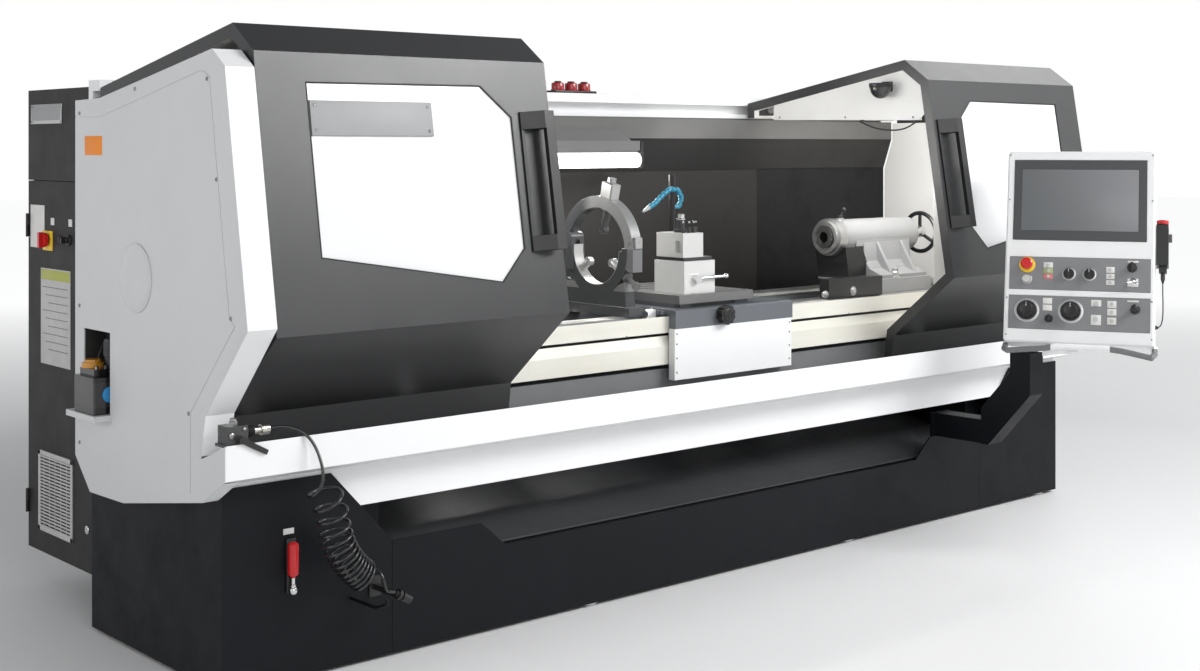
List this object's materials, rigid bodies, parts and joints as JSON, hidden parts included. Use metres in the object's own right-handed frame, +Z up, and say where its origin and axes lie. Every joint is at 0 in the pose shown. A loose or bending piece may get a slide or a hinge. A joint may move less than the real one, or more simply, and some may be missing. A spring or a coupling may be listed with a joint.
{
  "type": "cnc turning lathe",
  "caption": "Flat-bed CNC turning lathe with sliding front doors, chuck, steady rest, tool post, tailstock, rear electrical cabinet and a swivelling control pendant.",
  "frame": {"origin": "middle of the footprint on the floor, measured without the coiled air hose", "axes": "+X along the spindle from the headstock to the tailstock, +Y from the operator's side to the rear, +Z up"},
  "size_m": [4.1, 2.3856, 1.841],
  "materials": {
    "white_paint": "satin powder coat",
    "pale_grey_paint": "satin powder coat",
    "charcoal_paint": "fine textured powder coat",
    "black_base_paint": "satin powder coat",
    "dark_grey_paint": "satin",
    "slide_grey_paint": "satin machine enamel",
    "cream_steel": "brushed light steel cover",
    "machined_iron": "ground",
    "machined_steel": "turned and ground",
    "bright_chrome": "polished",
    "silver_casting": "satin enamel",
    "black_plastic": "matte",
    "grey_plastic": "matte",
    "red_plastic": "gloss",
    "yellow_plastic": "gloss",
    "blue_plastic": "gloss",
    "lamp_white": "lit diffuser",
    "black_rubber": "matte",
    "window_pane": "frosted",
    "motor_paint": "satin enamel"
  },
  "bodies": {
    "machine": {"base_frame": "black_base_paint", "chip_pan": "dark_grey_paint", "levelling_feet": "machined_steel", "bed": "machined_iron", "bed_covers": "cream_steel", "front_rail": "white_paint", "headstock": "silver_casting", "end_cover": "pale_grey_paint", "right_end_cover": "charcoal_paint", "cabinet_body": "charcoal_paint", "back_wall": "charcoal_paint", "roof_beam": "white_paint", "lamp": "lamp_white", "headstock_guard": "white_paint", "tail_guard": "white_paint", "lubricator": "black_plastic", "air_valve": "dark_grey_paint", "pendant_arm": "black_base_paint", "drive_motor": "motor_paint", "drive_belt": "black_rubber", "hose_lead": "black_rubber", "hose_coil": "black_rubber", "hose_end": "black_rubber", "steady_base": "dark_grey_paint"},
    "left_door_set": {"left_door": "charcoal_paint", "left_window": "window_pane", "left_handle": "black_plastic"},
    "right_door_set": {"right_door": "charcoal_paint", "right_window": "window_pane", "right_handle": "black_plastic"},
    "carriage": {"saddle": "slide_grey_paint", "apron": "white_paint"},
    "carriage_knob": {"saddle_knob": "black_plastic"},
    "screw": {"ball_screw": "machined_steel"},
    "cross": {"cross_slide": "slide_grey_paint", "tool_holder": "silver_casting", "coolant_post": "blue_plastic"},
    "tool_lever": {"clamp_lever": "bright_chrome"},
    "spindle_set": {"spindle": "machined_steel", "chuck": "machined_steel"},
    "rotor": {"motor_rotor": "machined_steel"},
    "tail": {"tailstock": "silver_casting"},
    "wheel": {"handwheel": "black_plastic"},
    "quill_sleeve": {"quill": "machined_steel"},
    "quill_lock": {"quill_clamp": "black_plastic"},
    "steady_top": {"steady_arm": "dark_grey_paint"},
    "cabinet_leaf": {"cabinet_door": "charcoal_paint"},
    "isolator": {"main_switch": "red_plastic"},
    "air_lever": {"valve_lever": "black_plastic"},
    "pendant": {"pendant_housing": "white_paint", "screen": "black_plastic", "control_panels": "grey_plastic", "hand_unit": "red_plastic"},
    "stop_button": {"estop": "red_plastic"},
    "reset_key": {"reset_button": "grey_plastic"},
    "mode_a": {"selector_a": "black_plastic"},
    "mode_b": {"selector_b": "black_plastic"},
    "feed_knob": {"feed_dial": "black_plastic"},
    "speed_knob": {"speed_dial": "black_plastic"},
    "jog_stick": {"joystick": "black_plastic"}
  },
  "joints": [
    {"name": "left_door_slide", "type": "slide", "parent": "machine", "child": "left_door_set", "axis": [1, 0, 0], "range_m": [0, 1]},
    {"name": "right_door_slide", "type": "slide", "parent": "machine", "child": "right_door_set", "axis": [1, 0, 0], "range_m": [-0.92, 0]},
    {"name": "saddle_slide", "type": "slide", "parent": "machine", "child": "carriage", "axis": [1, 0, 0], "range_m": [-0.03, 0.16]},
    {"name": "saddle_knob_turn", "type": "hinge", "parent": "carriage", "child": "carriage_knob", "pos_m": [0.126, -0.17021, 0.892], "axis": [0, -1, 0], "range_deg": [-180, 180]},
    {"name": "screw_turn", "type": "hinge", "parent": "machine", "child": "screw", "pos_m": [0.05, -0.08221, 0.777], "axis": [1, 0, 0], "range_deg": [-600, 3000]},
    {"name": "cross_slide_travel", "type": "slide", "parent": "carriage", "child": "cross", "axis": [0, 1, 0], "range_m": [-0.04, 0.16]},
    {"name": "clamp_lever_turn", "type": "hinge", "parent": "cross", "child": "tool_lever", "pos_m": [0.053, -0.09021, 1.022], "axis": [0, -1, 0], "range_deg": [-15, 90]},
    {"name": "spindle_turn", "type": "hinge", "parent": "machine", "child": "spindle_set", "pos_m": [-1.05, 0.09979, 1.127], "axis": [1, 0, 0], "continuous": true},
    {"name": "rotor_turn", "type": "hinge", "parent": "machine", "child": "rotor", "pos_m": [-1.75, 0.11979, 0.312], "axis": [1, 0, 0], "continuous": true},
    {"name": "tailstock_slide", "type": "slide", "parent": "machine", "child": "tail", "axis": [1, 0, 0], "range_m": [-0.1, 0.3]},
    {"name": "handwheel_turn", "type": "hinge", "parent": "tail", "child": "wheel", "pos_m": [1.622, 0.09979, 1.127], "axis": [1, 0, 0], "range_deg": [0, 10800]},
    {"name": "quill_slide", "type": "slide", "parent": "tail", "child": "quill_sleeve", "axis": [-1, 0, 0], "range_m": [0, 0.1505]},
    {"name": "quill_lock_turn", "type": "hinge", "parent": "tail", "child": "quill_lock", "pos_m": [1.059, 0.07579, 1.212], "axis": [0, 0, 1], "range_deg": [-50, 50]},
    {"name": "steady_open", "type": "hinge", "parent": "machine", "child": "steady_top", "pos_m": [-0.23, 0.24979, 1.167], "axis": [-1, 0, 0], "range_deg": [0, 56]},
    {"name": "cabinet_door_open", "type": "hinge", "parent": "machine", "child": "cabinet_leaf", "pos_m": [-1.896, 1.17479, 0.762], "axis": [0, 0, -1], "range_deg": [0, 110]},
    {"name": "main_switch_turn", "type": "hinge", "parent": "cabinet_leaf", "child": "isolator", "pos_m": [-1.9, 1.01379, 1.188], "axis": [1, 0, 0], "range_deg": [0, 90]},
    {"name": "air_lever_turn", "type": "hinge", "parent": "machine", "child": "air_lever", "pos_m": [-1.95, -0.41121, 0.718], "axis": [0, 1, 0], "range_deg": [-45, 45]},
    {"name": "pendant_swivel", "type": "hinge", "parent": "machine", "child": "pendant", "pos_m": [1.247, -0.69421, 0.734], "axis": [0, 0, 1], "range_deg": [-60, 25]},
    {"name": "estop_push", "type": "slide", "parent": "pendant", "child": "stop_button", "axis": [0.8513, 0.4564, -0.2588], "range_m": [0, 0.003], "stiffness_N_per_m": 300},
    {"name": "reset_push", "type": "slide", "parent": "pendant", "child": "reset_key", "axis": [0.8513, 0.4564, -0.2588], "range_m": [0, 0.003], "stiffness_N_per_m": 300},
    {"name": "selector_a_turn", "type": "hinge", "parent": "pendant", "child": "mode_a", "pos_m": [1.24915, -0.87698, 1.02268], "axis": [-0.8513, -0.4564, 0.2588], "range_deg": [-45, 45]},
    {"name": "selector_b_turn", "type": "hinge", "parent": "pendant", "child": "mode_b", "pos_m": [1.28412, -0.9422, 1.02268], "axis": [-0.8513, -0.4564, 0.2588], "range_deg": [-45, 45]},
    {"name": "feed_dial_turn", "type": "hinge", "parent": "pendant", "child": "feed_knob", "pos_m": [1.14588, -0.76215, 0.88552], "axis": [-0.8513, -0.4564, 0.2588], "range_deg": [-150, 150]},
    {"name": "speed_dial_turn", "type": "hinge", "parent": "pendant", "child": "speed_knob", "pos_m": [1.22124, -0.90216, 0.88648], "axis": [-0.8513, -0.4564, 0.2588], "range_deg": [-150, 150]},
    {"name": "joystick_tilt", "type": "hinge", "parent": "pendant", "child": "jog_stick", "pos_m": [1.33583, -1.10056, 0.898], "axis": [0.4726, -0.8813, 0], "range_deg": [-15, 15], "stiffness_Nm_per_rad": 1}
  ],
  "couplings": [
    {"joint": "screw_turn", "follows": "saddle_slide", "rad_per_m": 314.16},
    {"joint": "rotor_turn", "follows": "spindle_turn", "ratio": 1.625},
    {"joint": "quill_slide", "follows": "handwheel_turn", "m_per_rad": 0.00079577}
  ]
}
